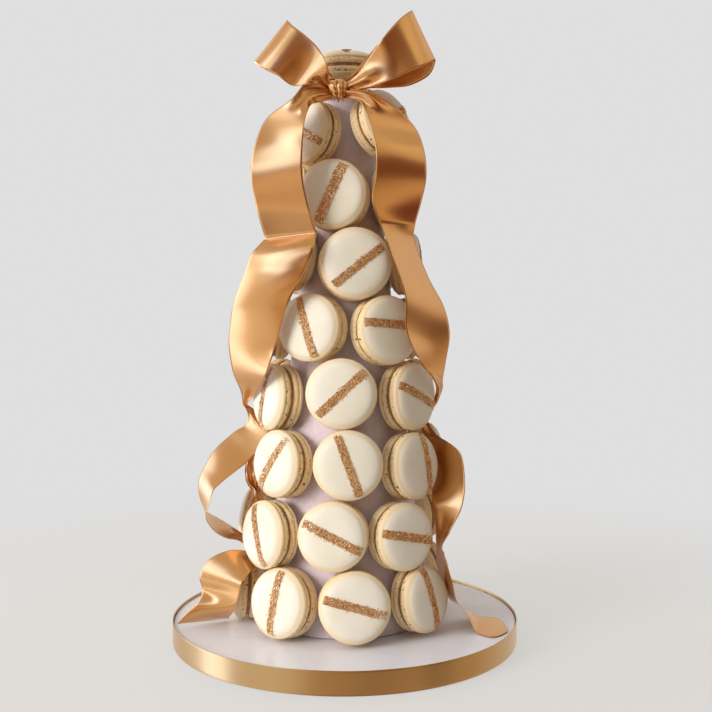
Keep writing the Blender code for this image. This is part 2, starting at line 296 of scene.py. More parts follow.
class NodeTree:
    """A tree of nodes, with the helpers that materials and the room share."""

    def __init__(self, tree):
        self.tree = tree

    def add(self, kind, **settings):
        node = self.tree.nodes.new(kind)
        for name, value in settings.items():
            setattr(node, name, value)
        return node

    def link(self, output, target):
        self.tree.links.new(output, target)

    def coordinates(self, which="Object"):
        return self.add("ShaderNodeTexCoord").outputs[which]

    def ramp(self, value, low, high, to_low=0.0, to_high=1.0):
        """The value taken smoothly from low..high to to_low..to_high."""
        node = self.add("ShaderNodeMapRange", interpolation_type="SMOOTHSTEP")
        for socket, number in zip(("From Min", "From Max", "To Min", "To Max"), (low, high, to_low, to_high)):
            node.inputs[socket].default_value = number
        self.link(value, node.inputs["Value"])
        return node.outputs["Result"]

    def mix(self, factor, first, second):
        """The first colour, and the second over it by a factor; each is a tuple or an output."""
        node = self.add("ShaderNodeMix", data_type="RGBA")
        self.link(factor, node.inputs["Factor"])
        for socket, value in ((node.inputs["A"], first), (node.inputs["B"], second)):
            if isinstance(value, tuple):
                socket.default_value = (*value, 1.0)
            else:
                self.link(value, socket)
        return node.outputs["Result"]


class Shader(NodeTree):
    """A Principled material, and what only materials add to it."""

    def __init__(self, name, colour, roughness, metallic=0.0):
        self.material = bpy.data.materials.new(name)
        self.material.use_nodes = True
        super().__init__(self.material.node_tree)
        self.principled = self.tree.nodes["Principled BSDF"]
        self.set("Base Color", (*colour, 1.0))
        self.set("Roughness", roughness)
        self.set("Metallic", metallic)

    def set(self, socket, value):
        """Gives one of the Principled node's inputs a plain value."""
        self.principled.inputs[socket].default_value = value

    def feed(self, socket, output):
        """Links another node's output to one of the Principled node's inputs."""
        self.link(output, self.principled.inputs[socket])

    def stretched(self, vector, scale):
        mapping = self.add("ShaderNodeMapping")
        mapping.inputs["Scale"].default_value = scale
        self.link(vector, mapping.inputs["Vector"])
        return mapping.outputs["Vector"]

    def noise(self, vector, scale, detail=2.0, roughness=0.5):
        node = self.add("ShaderNodeTexNoise")
        node.inputs["Scale"].default_value = scale
        node.inputs["Detail"].default_value = detail
        node.inputs["Roughness"].default_value = roughness
        self.link(vector, node.inputs["Vector"])
        return node.outputs["Fac"]

    def cells(self, vector, scale, output="Distance"):
        node = self.add("ShaderNodeTexVoronoi")
        node.inputs["Scale"].default_value = scale
        self.link(vector, node.inputs["Vector"])
        return node.outputs[output]

    def maths(self, operation, first, second):
        node = self.add("ShaderNodeMath", operation=operation)
        for socket, value in zip(node.inputs, (first, second)):
            if isinstance(value, (int, float)):
                socket.default_value = value
            else:
                self.link(value, socket)
        return node.outputs[0]

    def bump(self, height, strength, distance, after=None):
        node = self.add("ShaderNodeBump")
        node.inputs["Strength"].default_value = strength
        node.inputs["Distance"].default_value = distance
        self.link(height, node.inputs["Height"])
        if after:
            self.link(after, node.inputs["Normal"])
        return node.outputs["Normal"]


def shell_material():
    """Baked almond shell: ivory with faint clouds, browner at its rim, with a fine grain and a soft sheen."""
    ivory = (0.87, 0.81, 0.68)
    cream = (0.84, 0.77, 0.61)
    tan_rim = (0.87, 0.64, 0.34)
    freckle = (0.66, 0.52, 0.34)
    s = Shader("macaron_shell", (0.86, 0.79, 0.61), 0.45)
    place = s.coordinates()
    clouds = s.ramp(s.noise(place, 55.0, 3.0), 0.35, 0.7)
    tone = s.mix(clouds, ivory, cream)
    rim = s.add("ShaderNodeAttribute", attribute_name="rim").outputs["Fac"]
    tone = s.mix(s.ramp(rim, 0.78, 1.0, 0.0, 0.72), tone, tan_rim)
    freckles = s.ramp(s.noise(place, 900.0, 2.0, 0.6), 0.66, 0.74)
    s.feed("Base Color", s.mix(s.maths("MULTIPLY", freckles, 0.35), tone, freckle))
    s.feed("Roughness", s.ramp(clouds, 0.0, 1.0, 0.42, 0.55))
    grain = s.bump(s.noise(place, 1600.0, 3.0, 0.6), 0.12, 0.0002)
    s.feed("Normal", s.bump(s.noise(place, 180.0, 2.0), 0.25, 0.0004, grain))
    s.set("Subsurface Weight", 0.12)
    s.set("Subsurface Radius", (1.0, 0.7, 0.4))
    s.set("Subsurface Scale", 0.003)
    return s.material


def foot_material():
    """The shell's ruffled foot: buff, with a crumb and a few pits, which are dented in and darkened as
    painted shade in their holes.
    """
    buff = (0.83, 0.59, 0.30)
    pale = (0.93, 0.75, 0.46)
    pit_shade = (0.16, 0.11, 0.05)
    s = Shader("macaron_foot", (0.84, 0.64, 0.34), 0.7)
    place = s.coordinates()
    crumb = s.noise(place, 700.0, 3.0, 0.65)
    tone = s.mix(s.ramp(crumb, 0.35, 0.65), buff, pale)
    shaded_pits = s.ramp(s.noise(place, 520.0, 1.0), 0.67, 0.72)
    # The pits are painted near black: painted shade in the holes.
    s.feed("Base Color", s.mix(shaded_pits, tone, pit_shade))
    height = s.maths("SUBTRACT", crumb, s.maths("MULTIPLY", shaded_pits, 0.8))
    s.feed("Normal", s.bump(height, 0.45, 0.0006))
    return s.material


def filling_material():
    """Caramel filling, a little glossy and rough from the knife."""
    dark = (0.27, 0.13, 0.05)
    caramel = (0.46, 0.26, 0.11)
    s = Shader("caramel_filling", (0.36, 0.19, 0.08), 0.4)
    lumps = s.noise(s.coordinates(), 260.0, 3.0)
    s.feed("Base Color", s.mix(s.ramp(lumps, 0.3, 0.7), dark, caramel))
    s.feed("Normal", s.bump(lumps, 0.5, 0.0006))
    return s.material


def glitter_bed_material():
    """The fine glitter under the flakes that stand out, each grain in its own shade."""
    copper = (0.48, 0.22, 0.07)
    gold = (0.86, 0.52, 0.22)
    grains_to_a_metre = 2600.0
    s = Shader("glitter_bed", (0.50, 0.26, 0.11), 0.45, 0.2)
    place = s.coordinates()
    grains = s.cells(place, grains_to_a_metre, "Color")
    shade = s.add("ShaderNodeSeparateColor")
    s.link(grains, shade.inputs["Color"])
    s.feed("Base Color", s.mix(shade.outputs["Red"], copper, gold))
    s.feed("Normal", s.bump(s.cells(place, grains_to_a_metre), 0.9, 0.0003))
    return s.material


def flake_material():
    """Metal-coated flakes; each has its own colour, and a few near-white ones are painted glints."""
    s = Shader("glitter_flakes", (0.72, 0.42, 0.20), 0.25, 0.5)
    colour = s.add("ShaderNodeAttribute", attribute_name="flake_colour")
    s.feed("Base Color", colour.outputs["Color"])
    return s.material


def satin_material(name, colour, deep, roughness):
    """Satin: its long threads spread the shine across the width, and the weave hardly shows."""
    s = Shader(name, colour, roughness, 0.92)
    s.set("Anisotropic", 0.7)
    s.set("Coat Weight", 1.0)
    s.set("Coat Roughness", 0.27)
    s.set("Coat IOR", 2.0)
    uv = s.coordinates("UV")
    threads = s.noise(s.stretched(uv, (5000.0, 60.0, 1.0)), 1.0, 2.0)
    clouds = s.noise(s.stretched(uv, (60.0, 25.0, 1.0)), 1.0, 2.0)
    tone = s.mix(s.ramp(clouds, 0.3, 0.75, 0.0, 0.3), colour, deep)
    tone = s.mix(s.ramp(threads, 0.35, 0.7, 0.0, 0.06), tone, deep)
    s.feed("Base Color", tone)
    s.feed("Normal", s.bump(threads, 0.015, 0.0001))
    tangent = s.add("ShaderNodeTangent", direction_type="UV_MAP")
    s.feed("Tangent", tangent.outputs["Tangent"])
    return s.material


def icing_material():
    """The board's white top, smooth and a little glossy, with faint clouds and ripples."""
    white = (0.86, 0.85, 0.88)
    shade = (0.81, 0.80, 0.84)
    s = Shader("white_icing", (0.84, 0.83, 0.86), 0.32)
    place = s.coordinates()
    clouds = s.noise(place, 22.0, 3.0)
    s.feed("Base Color", s.mix(s.ramp(clouds, 0.3, 0.7), white, shade))
    s.feed("Roughness", s.ramp(clouds, 0.3, 0.7, 0.26, 0.4))
    ripple = s.bump(s.noise(place, 70.0, 2.0), 0.15, 0.0006)
    s.feed("Normal", s.bump(s.noise(place, 1500.0, 2.0), 0.05, 0.0001, ripple))
    return s.material


def foam_material():
    """The cone under the macarons: pale, with the bead pattern of foam showing faintly."""
    pale = (0.78, 0.67, 0.71)
    shade = (0.74, 0.62, 0.66)
    s = Shader("white_foam", (0.80, 0.76, 0.80), 0.5)
    beads = s.cells(s.coordinates(), 330.0)
    s.feed("Base Color", s.mix(s.ramp(beads, 0.35, 0.75), pale, shade))
    s.feed("Normal", s.bump(beads, 0.08, -0.0004))
    return s.material


# ---- pieces ----


def add_piece(name, vertices, faces, materials, face_materials=None, uvs=None):
    """A smooth mesh object that rides on the tower's one body."""
    mesh = bpy.data.meshes.new(name)
    mesh.from_pydata(np.asarray(vertices, float).tolist(), [], faces)
    for used in materials:
        mesh.materials.append(used)
    if face_materials is not None:
        mesh.polygons.foreach_set("material_index", np.asarray(face_materials, np.int32))
    if uvs is not None:
        layer = mesh.uv_layers.new(name="UVMap")
        corners = np.empty(len(mesh.loops), np.int32)
        mesh.loops.foreach_get("vertex_index", corners)
        layer.data.foreach_set("uv", np.asarray(uvs, np.float32)[corners].ravel())
    mesh.shade_smooth()
    mesh.update()
    piece = bpy.data.objects.new(name, mesh)
    bpy.context.scene.collection.objects.link(piece)
    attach(piece, BODY)
    return piece


def ring_faces(rings, segments, close=False):
    """Quads between each ring of vertices and the next, as vertex numbers."""
    faces = []
    for ring in range(rings if close else rings - 1):
        here = ring * segments
        there = (ring + 1) % rings * segments
        for k in range(segments):
            after = (k + 1) % segments
            faces.append((here + k, here + after, there + after, there + k))
    return faces


def capped_faces(rings, segments):
    """Quads between the rings, and a face over the first ring and over the last."""
    last = (rings - 1) * segments
    caps = [tuple(range(segments))[::-1], tuple(range(last, last + segments))]
    return ring_faces(rings, segments) + caps


def grid_faces(lines, count, close=False):
    """Quads between each line of count vertices and the next, and from the last to the first if closed."""
    faces = []
    for line in range(lines if close else lines - 1):
        here = line * count
        there = (line + 1) % lines * count
        for k in range(count - 1):
            faces.append((here + k, there + k, there + k + 1, here + k + 1))
    return faces


def turned_points(outline, segments):
    """The vertices of an outline of (radius, height) turned about Z, ring by ring."""
    angles = np.arange(segments) * 2 * math.pi / segments
    circle = np.stack([np.cos(angles), np.sin(angles)], 1)
    rings = [np.column_stack([radius * circle, np.full(segments, height)]) for radius, height in outline]
    return np.concatenate(rings)


def rounded(corner, before, after, radius, steps=4):
    """Points round a corner of an outline."""
    corner, before, after = (np.array(p, float) for p in (corner, before, after))
    start = corner + (before - corner) / np.linalg.norm(before - corner) * radius
    end = corner + (after - corner) / np.linalg.norm(after - corner) * radius
    shares = np.linspace(0, 1, steps + 1)[:, None]
    curve = start * (1 - shares) ** 2 + 2 * corner * shares * (1 - shares) + end * shares**2
    return [tuple(p) for p in curve]


def board():
    """The drum under its icing, whose top edge is rounded and whose face is not quite flat."""
    segments = 192
    foot_rounding = 0.6 * MM
    edge_rounding = 1.2 * MM
    waves = 0.25 * MM
    waves_to_a_metre = 30
    edge = (BOARD_RADIUS, BOARD_HEIGHT)
    outline = [(radius * MM, 0) for radius in (1, 60, 112)]
    outline += rounded((BOARD_RADIUS, 0), (0, 0), edge, foot_rounding)
    outline += [(BOARD_RADIUS, 6 * MM)]
    outline += rounded(edge, (BOARD_RADIUS, 0), (0, BOARD_HEIGHT), edge_rounding)
    outline += [(radius * MM, BOARD_HEIGHT) for radius in (108, 100, 90, 80, 70, 60, 45, 25, 1)]
    points = turned_points(outline, segments)
    top = points[:, 2] > BOARD_HEIGHT - 0.1 * MM
    for k in np.nonzero(top)[0]:
        x, y = points[k, 0], points[k, 1]
        wave = noise.noise(Vector((x * waves_to_a_metre, y * waves_to_a_metre, 3)))
        points[k, 2] -= waves * (0.5 + 0.5 * wave)
    faces = capped_faces(len(outline), segments)
    piece = add_piece("iced_board", points, faces, [MATERIALS["icing"]])
    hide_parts("cake_board")


def board_band():
    """The ribbon round the board's edge, whose edges wave a little."""
    segments = 240
    thick = BAND_OUTSIDE - BAND_INSIDE
    edge_lift = 0.35 * MM
    flare = 0.15 * MM
    outer_foot = (BAND_OUTSIDE, BAND_BOTTOM)
    outer_top = (BAND_OUTSIDE, BAND_TOP)
    inner_foot = (BAND_INSIDE, BAND_BOTTOM)
    inner_top = (BAND_INSIDE, BAND_TOP)
    outline = rounded(outer_foot, inner_foot, outer_top, thick / 2, 2)
    outline += [(BAND_OUTSIDE, height * MM) for height in (2, 5, 8, 11, 13.5)]
    outline += rounded(outer_top, (BAND_OUTSIDE, 0), (0, BAND_TOP), thick / 2, 3)
    outline += rounded(inner_top, outer_top, (BAND_INSIDE, 0), thick / 4, 2)
    outline += [(BAND_INSIDE, 8 * MM), inner_foot]
    points = turned_points(outline, segments)
    angles = np.arctan2(points[:, 1], points[:, 0])
    for k, angle in enumerate(angles):
        wave = noise.noise(Vector((3 * math.cos(angle), 3 * math.sin(angle), 7)))
        share = points[k, 2] / BAND_TOP
        points[k, 2] += edge_lift * wave * share
        reach = 1 + flare * share * (wave + 0.6) / BAND_OUTSIDE
        points[k, 0] *= reach
        points[k, 1] *= reach
    # u runs up the ribbon's width and v along it, both in metres.
    uvs = np.column_stack([points[:, 2], (angles + math.pi) * BAND_OUTSIDE])
    faces = ring_faces(len(outline), segments, close=True)
    piece = add_piece("edge_ribbon", points, faces, [MATERIALS["band"]], uvs=uvs)
    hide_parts("board_ribbon")


def cone():
    """The foam cone, with rounded edges and faint dents round its side."""
    segments = 128
    foot_rounding = 0.8 * MM
    top_rounding = 1.5 * MM
    deepest_dent = 0.25 * MM
    side_begins = 14 * MM
    foot = (CONE_BASE_RADIUS, CONE_BOTTOM)
    shoulder = (CONE_TOP_RADIUS, CONE_TOP)
    outline = [(1 * MM, CONE_BOTTOM), (50 * MM, CONE_BOTTOM)]
    outline += rounded(foot, (0, CONE_BOTTOM), shoulder, foot_rounding, 3)
    for share in np.linspace(0.04, 0.96, 30):
        radius = CONE_BASE_RADIUS + (CONE_TOP_RADIUS - CONE_BASE_RADIUS) * share
        outline.append((radius, CONE_BOTTOM + (CONE_TOP - CONE_BOTTOM) * share))
    outline += rounded(shoulder, foot, (0, CONE_TOP), top_rounding)
    outline += [(7 * MM, CONE_TOP), (1 * MM, CONE_TOP)]
    points = turned_points(outline, segments)
    for k, (x, y, z) in enumerate(points):
        radius = math.hypot(x, y)
        if radius > side_begins:
            dent = deepest_dent * min(0.0, noise.noise(Vector((x, y, z)) * 120)) / radius
            points[k, :2] *= 1 + dent
    faces = capped_faces(len(outline), segments)
    piece = add_piece("foam_cone", points, faces, [MATERIALS["foam"]])
    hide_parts("cone")


# ---- macarons ----

SHELL, FOOT, FILLING = 0, 1, 2

# A shell's dome over the middle plane, in mm: how high its edge is, how much it rises, the share of
# the radius where it ends, and the two powers of its curve.
DOME_EDGE_HEIGHT = 7.5
DOME_RISE = 3.5
DOME_END = 0.91
DOME_FLATNESS = 3.2
DOME_FULLNESS = 0.52
DOME_SHARES = (0.06, 0.25, 0.43, 0.58, 0.7, 0.79, 0.855, 0.892)
# The outline from there to the middle of the filling: share of the radius, height in mm and kind.
SIDE_OUTLINE = (
    (0.925, 7.35, SHELL),
    (0.962, 6.95, SHELL),
    (0.988, 6.2, SHELL),
    (0.998, 5.4, SHELL),
    (0.985, 4.85, SHELL),
    (0.962, 4.6, FOOT),
    (0.985, 4.2, FOOT),
    (1.0, 3.4, FOOT),
    (0.998, 2.4, FOOT),
    (0.975, 1.5, FOOT),
    (0.94, 1.0, FOOT),
    (0.89, 0.85, FILLING),
    (0.905, 0.3, FILLING),
)
# How much wider a macaron is than its size says, how deep its dome is dented, and up to which share.
SPREAD = 1.01
DENT = 0.18 * MM
DENTED = 0.9
# How far a shell sits off the middle in mm, its slope, and how far out of round a macaron is.
SHELL_SHIFT = 0.2
SHELL_TIP = 0.012
UNROUND = 0.010
# How far noise moves the skin, in mm: the foot in and out, coarse and fine, about its inset, and up
# and down; the filling in and out; and the shell's edge in and out.
RUFFLE = 0.28
FINE_RUFFLE = 0.22
FOOT_INSET = 0.1
FOOT_WAVE = 0.15
FILLING_BULGE = 0.5
EDGE_WAVE = 0.10


def half_outline():
    """The outline from a shell's crown down to the middle of the filling."""
    dome = []
    for share in DOME_SHARES:
        curve = max(0.0, 1 - (share / DOME_END) ** DOME_FLATNESS) ** DOME_FULLNESS
        dome.append((share, DOME_EDGE_HEIGHT + DOME_RISE * curve, SHELL))
    return dome + list(SIDE_OUTLINE)


def macaron_mesh(seed, size):
    """The vertices, faces and face kinds of one macaron about its own middle."""
    chance = random.Random(seed)
    segments = MACARON_SEGMENTS
    radius = size * MACARON_RADIUS
    half = half_outline()
    outline = half + [(share, -height, kind) for share, height, kind in reversed(half)]
    angles = np.arange(segments) * 2 * math.pi / segments
    cosines, sines = np.cos(angles), np.sin(angles)
    shift = [[chance.uniform(-SHELL_SHIFT, SHELL_SHIFT) * MM for _ in "xy"] for _ in range(2)]
    tip = [[chance.uniform(-SHELL_TIP, SHELL_TIP) for _ in "xy"] for _ in range(2)]
    offset = chance.uniform(0, 90)

    def bump(k, bumps, depth):
        """Noise round the macaron, which is the same at the same depth."""
        return noise.noise(Vector((cosines[k] * bumps, sines[k] * bumps, offset + depth)))

    points = np.empty((len(outline) * segments, 3))
    for ring, (share, height, kind) in enumerate(outline):
        side = 0 if height > 0 else 1
        for k in range(segments):
            around = Vector((cosines[k], sines[k], offset + side * 5))
            out = share * radius * SPREAD * (1 + UNROUND * noise.noise(around * 1.3) * share)
            z = height * MM
            if kind == FOOT:
                ruffle = RUFFLE * bump(k, 9, height * 0.5) + FINE_RUFFLE * bump(k, 26, height * 0.9)
                out += (ruffle - FOOT_INSET) * MM
                z += FOOT_WAVE * MM * bump(k, 7, 3)
            elif kind == FILLING:
                out += FILLING_BULGE * MM * bump(k, 4, 11)
            elif share > DENTED:
                out += EDGE_WAVE * MM * bump(k, 7, 3)
            x, y = out * cosines[k], out * sines[k]
            if kind != FILLING:
                z += x * tip[side][0] + y * tip[side][1]
                x += shift[side][0]
                y += shift[side][1]
            if kind == SHELL and share < DENTED:
                dent = 1 + noise.noise(Vector((x * 90, y * 90, offset + side * 9)))
                z -= math.copysign(DENT, height) * dent
            points[ring * segments + k] = (x, y, z)
    faces = [face[::-1] for face in capped_faces(len(outline), segments)]
    kinds = []
    for ring in range(len(outline) - 1):
        kinds += [max(outline[ring][2], outline[ring + 1][2])] * segments
    return points, faces, kinds + [SHELL, SHELL]


def place_on_cone(azimuth, height, lean, stand_off, stripe_angle):
    """Where a macaron goes: its Z leads out from the cone and its X along its stripe."""
    angle = math.radians(azimuth)
    tilt = math.atan(CONE_SLOPE) + math.radians(lean)
    outward = Vector((math.sin(angle), -math.cos(angle), 0))
    normal = outward * math.cos(tilt) + Vector((0, 0, math.sin(tilt)))
    sideways = Vector((math.cos(angle), math.sin(angle), 0))
    upward = normal.cross(sideways)
    cone_radius = CONE_BASE_RADIUS - CONE_SLOPE * (height * MM - CONE_BOTTOM)
    centre = outward * cone_radius + Vector((0, 0, height * MM))
    centre += normal * (MACARON_THICKNESS / 2 + stand_off * MM)
    axes = Matrix((sideways, upward, normal)).transposed().to_4x4()
    return Matrix.Translation(centre) @ axes @ Matrix.Rotation(math.radians(stripe_angle), 4, "Z")


def all_macarons():
    """Each macaron's node, place, size and stripe offset in metres."""
    for row, front in FRONT_MACARONS.items():
        for number, (azimuth, height, size, lean, stand_off, angle, offset) in enumerate(front, 1):
            place = place_on_cone(azimuth, height, lean, stand_off, angle)
            yield f"macaron_{row}_{number}", place, size, offset * MM
        height, azimuths = BACK_MACARONS[row]
        for number, azimuth in enumerate(azimuths, len(front) + 1):
            angle = BACK_STRIPES.uniform(-90, 90)
            place = place_on_cone(azimuth, height, 0, BACK_STAND_OFF, angle)
            yield f"macaron_{row}_{number}", place, BACK_SIZE, 0.0
    height = CONE_TOP + TOP_GAP + MACARON_THICKNESS / 2
    turn = Matrix.Rotation(math.radians(TOP_STRIPE_ANGLE), 4, "Z")
    yield "macaron_top", Matrix.Translation((0, 0, height)) @ turn, TOP_SIZE, TOP_STRIPE_OFFSET * MM


# ---- glitter ----

# The share of a shell's radius that a stripe may reach.
STRIPE_REACH = 0.965
# The bed's grid, and its height over the shell in mm, in the middle and at its edges.
BED_COLUMNS = 64
BED_ROWS = 7
BED_HEIGHT = 0.22
BED_EDGE_HEIGHT = 0.03
# How ragged its long sides are, and how much its corners are drawn in, as shares.
BED_RAGGED = 0.2
BED_DRAWN_IN = 0.03
FLAKES_TO_A_STRIPE = 1000
FLAKE_CORNERS = ((1, 0, 0), (0, 1, 0), (-1, 0, 0), (0, -1, 0))
# From a flake's middle to its corners, and its middle's height over the shell, least and most, in mm.
FLAKE_HALF = (0.25, 0.46)
FLAKE_LIFT = (0.3, 0.5)
# How far flakes lean, in degrees: the spread of a bell curve.
FLAKE_LEAN = 34
# The share of flakes that may stray past the bed, as far as this share of its width from its middle.
STRAY_FLAKES = 0.15
STRAY_REACH = 0.7
STRAY_SPREAD = 0.33
# Copper, gold, pale gold and brown flakes, and a few near-white ones painted as glints.
FLAKE_COLOURS = (
    (0.62, 0.29, 0.09),
    (0.80, 0.43, 0.15),
    (0.95, 0.66, 0.33),
    (0.30, 0.11, 0.03),
    (1.0, 0.92, 0.74),
)
FLAKE_SHARES = (0.27, 0.28, 0.25, 0.10, 0.10)


def on_dome(x, y, radius):
    """The height of the front shell over (x, y), in metres."""
    shares, heights = zip(*[(share, height) for share, height, kind in half_outline() if kind == SHELL])
    return np.interp(math.hypot(x, y) / (SPREAD * radius), shares, heights) * MM - DENT


def stripe_reach(size, offset):
    """How far a stripe runs from its middle, which is to the shell's edge at most."""
    return min(STRIPE_LENGTH / 2, math.sqrt((STRIPE_REACH * size * MACARON_RADIUS) ** 2 - offset**2))


def stripe_bed(size, offset, width, chance):
    """A thin ragged layer across the shell."""
    radius = size * MACARON_RADIUS
    reach = stripe_reach(size, offset)
    points = []
    wobble = chance.uniform(0, 50)
    for column in range(BED_COLUMNS):
        along = column / (BED_COLUMNS - 1) * 2 - 1
        for row in range(BED_ROWS):
            share = row / (BED_ROWS - 1) * 2 - 1
            ragged = 1 + BED_RAGGED * noise.noise(Vector((along * 12, share, wobble)))
            x = along * reach * (1 - BED_DRAWN_IN * share**2)
            y = offset + share * width / 2 * ragged
            edge = abs(share) > 0.9 or column in (0, BED_COLUMNS - 1)
            points.append((x, y, on_dome(x, y, radius) + (BED_EDGE_HEIGHT if edge else BED_HEIGHT) * MM))
    return np.array(points), grid_faces(BED_COLUMNS, BED_ROWS)


def stripe_flakes(size, offset, width, chance):
    """Four-sided flakes that lie on the bed at all angles, as (corners of one flake, colour)."""
    radius = size * MACARON_RADIUS
    reach = stripe_reach(size, offset)
    for _ in range(round(FLAKES_TO_A_STRIPE * width / STRIPE_WIDTH)):
        x = chance.uniform(-1, 1) * reach
        strays = chance.random() < STRAY_FLAKES
        share = chance.gauss(0, STRAY_SPREAD) if strays else chance.uniform(-0.5, 0.5)
        y = offset + max(-STRAY_REACH, min(STRAY_REACH, share)) * width
        centre = Vector((x, y, on_dome(x, y, radius) + chance.uniform(*FLAKE_LIFT) * MM))
        turn = Matrix.Rotation(chance.uniform(0, 2 * math.pi), 3, "Z")
        axis = chance.uniform(0, 2 * math.pi)
        lean_angle = math.radians(chance.gauss(0, FLAKE_LEAN))
        lean = Matrix.Rotation(lean_angle, 3, (math.cos(axis), math.sin(axis), 0))
        half = chance.uniform(*FLAKE_HALF) * MM
        corners = [centre + lean @ turn @ Vector(corner) * half for corner in FLAKE_CORNERS]
        yield corners, chance.choices(FLAKE_COLOURS, FLAKE_SHARES)[0]


def macarons():
    """Every macaron in its place, and over them the beds and the flakes of all the stripes."""
    bed_points, bed_faces = [], []
    flake_points, flake_colours = [], []
    kinds_of_material = [MATERIALS["shell"], MATERIALS["foot"], MATERIALS["filling"]]
    shares = [share for share, _, _ in half_outline()]
    rims = np.repeat(shares + shares[::-1], MACARON_SEGMENTS).astype(np.float32)
    for number, (node, place, size, offset) in enumerate(all_macarons()):
        matrix = np.array(place)
        points, faces, kinds = macaron_mesh(number * 7 + 1, size)
        points = points @ matrix[:3, :3].T + matrix[:3, 3]
        piece = add_piece(node + "_baked", points, faces, kinds_of_material, kinds)
        rim = piece.data.attributes.new("rim", "FLOAT", "POINT")
        rim.data.foreach_set("value", rims)
        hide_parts(node)
        chance = random.Random(number)
        width = STRIPE_WIDTH * WIDER_STRIPES.get(node, 1.0)
        points, faces = stripe_bed(size, offset, width, chance)
        start = number * len(points)
        bed_points.append(points @ matrix[:3, :3].T + matrix[:3, 3])
        bed_faces += [tuple(start + k for k in face) for face in faces]
        for corners, colour in stripe_flakes(size, offset, width, chance):
            flake_points += [place @ corner for corner in corners]
            flake_colours.append(colour)
    bed = add_piece("glitter_beds", np.concatenate(bed_points), bed_faces, [MATERIALS["glitter_bed"]])
    sides = len(FLAKE_CORNERS)
    faces = [tuple(range(k, k + sides)) for k in range(0, len(flake_points), sides)]
    flakes = add_piece("glitter_flakes", flake_points, faces, [MATERIALS["flakes"]])
    layer = flakes.data.color_attributes.new("flake_colour", "FLOAT_COLOR", "POINT")
    colours = np.column_stack([np.array(flake_colours), np.ones(len(flake_colours))])
    layer.data.foreach_set("color", np.repeat(colours, sides, 0).astype(np.float32).ravel())


# ---- ribbon ----

# Steps between two stations, and vertices across a ribbon.
RIBBON_STEPS = 8
RIBBON_COLUMNS = 26
# The deepest pleat, and how far the whole ribbon wanders off its stations, in mm.
DEEPEST_PLEAT = 1.9
WANDER = 1.2
# Pleats are full where the ribbon is drawn to this share of its width, and gone at the other.
PLEATED, FLAT = 0.38, 0.68
# How far the pleats drift across in each mm of the way, and the height, rate and start of a second wave.
PLEAT_DRIFT = 0.01
SECOND_HEIGHT, SECOND_RATE, SECOND_START = 0.35, 1.7, 1.3


def smooth_way(stations, creases):
    """The stations joined by smooth curves; the way may bend sharply at a crease."""
    stations = np.array(stations, float)
    middles = (stations[:, :3] + stations[:, 3:]) / 2
    lengths = np.maximum(np.linalg.norm(np.diff(middles, axis=0), axis=1), 2.0)
    slopes = np.diff(stations, axis=0) / lengths[:, None]
    count = len(stations)
    before, after = np.empty_like(stations), np.empty_like(stations)
    for k in range(count):
        left = slopes[max(k - 1, 0)]
        right = slopes[min(k, count - 2)]
        if k in creases:
            before[k], after[k] = left, right
        else:
            share = lengths[max(k - 1, 0)] / (lengths[max(k - 1, 0)] + lengths[min(k, count - 2)])
            before[k] = after[k] = left * (1 - share) + right * share
    way = []
    for k in range(count - 1):
        for share in np.arange(RIBBON_STEPS) / RIBBON_STEPS:
            # The weights of a cubic's two ends and of its slopes there.
            start = 2 * share**3 - 3 * share**2 + 1
            start_slope = share**3 - 2 * share**2 + share
            end = -2 * share**3 + 3 * share**2
            end_slope = share**3 - share**2
            way.append(
                start * stations[k]
                + start_slope * lengths[k] * after[k]
                + end * stations[k + 1]
                + end_slope * lengths[k] * before[k + 1]
            )
    way.append(stations[-1])
    return np.array(way)


def unit(vectors):
    return vectors / np.maximum(np.linalg.norm(vectors, axis=-1, keepdims=True), 1e-9)


def pleat_lift(widths, flat_width, travelled, shares, pleats, fullness, seed):
    """How far pleats lift the ribbon, along it and across it: most where it is drawn narrow."""
    spare = np.sqrt(np.maximum(flat_width / np.maximum(widths, 1.0) - 1, 0))
    gathered = 1 - smoothstep(PLEATED, FLAT, widths / flat_width)
    depth = fullness * np.minimum(widths / (math.pi * pleats) * spare, DEEPEST_PLEAT) * gathered
    phase = 2 * math.pi * pleats * shares[None, :] + seed + PLEAT_DRIFT * travelled[:, None]
    folds = np.sin(phase) + SECOND_HEIGHT * np.sin(SECOND_RATE * phase + SECOND_START)
    swell = 4 * shares * (1 - shares)
    return depth[:, None] * folds * np.sqrt(swell)[None, :]


def satin_piece(name, points, faces, across, along):
    """A piece of satin from its grid of points in mm; its u runs across it and its v along it, in metres."""
    u, v = np.meshgrid(across * MM, along * MM)
    uvs = np.column_stack([u.ravel(), v.ravel()])
    piece = add_piece(name, points.reshape(-1, 3) * MM, faces, [MATERIALS["satin"]], uvs=uvs)
    solid = piece.modifiers.new("cloth", "SOLIDIFY")
    solid.thickness = RIBBON_THICKNESS * MM
    solid.offset = 0
    return piece


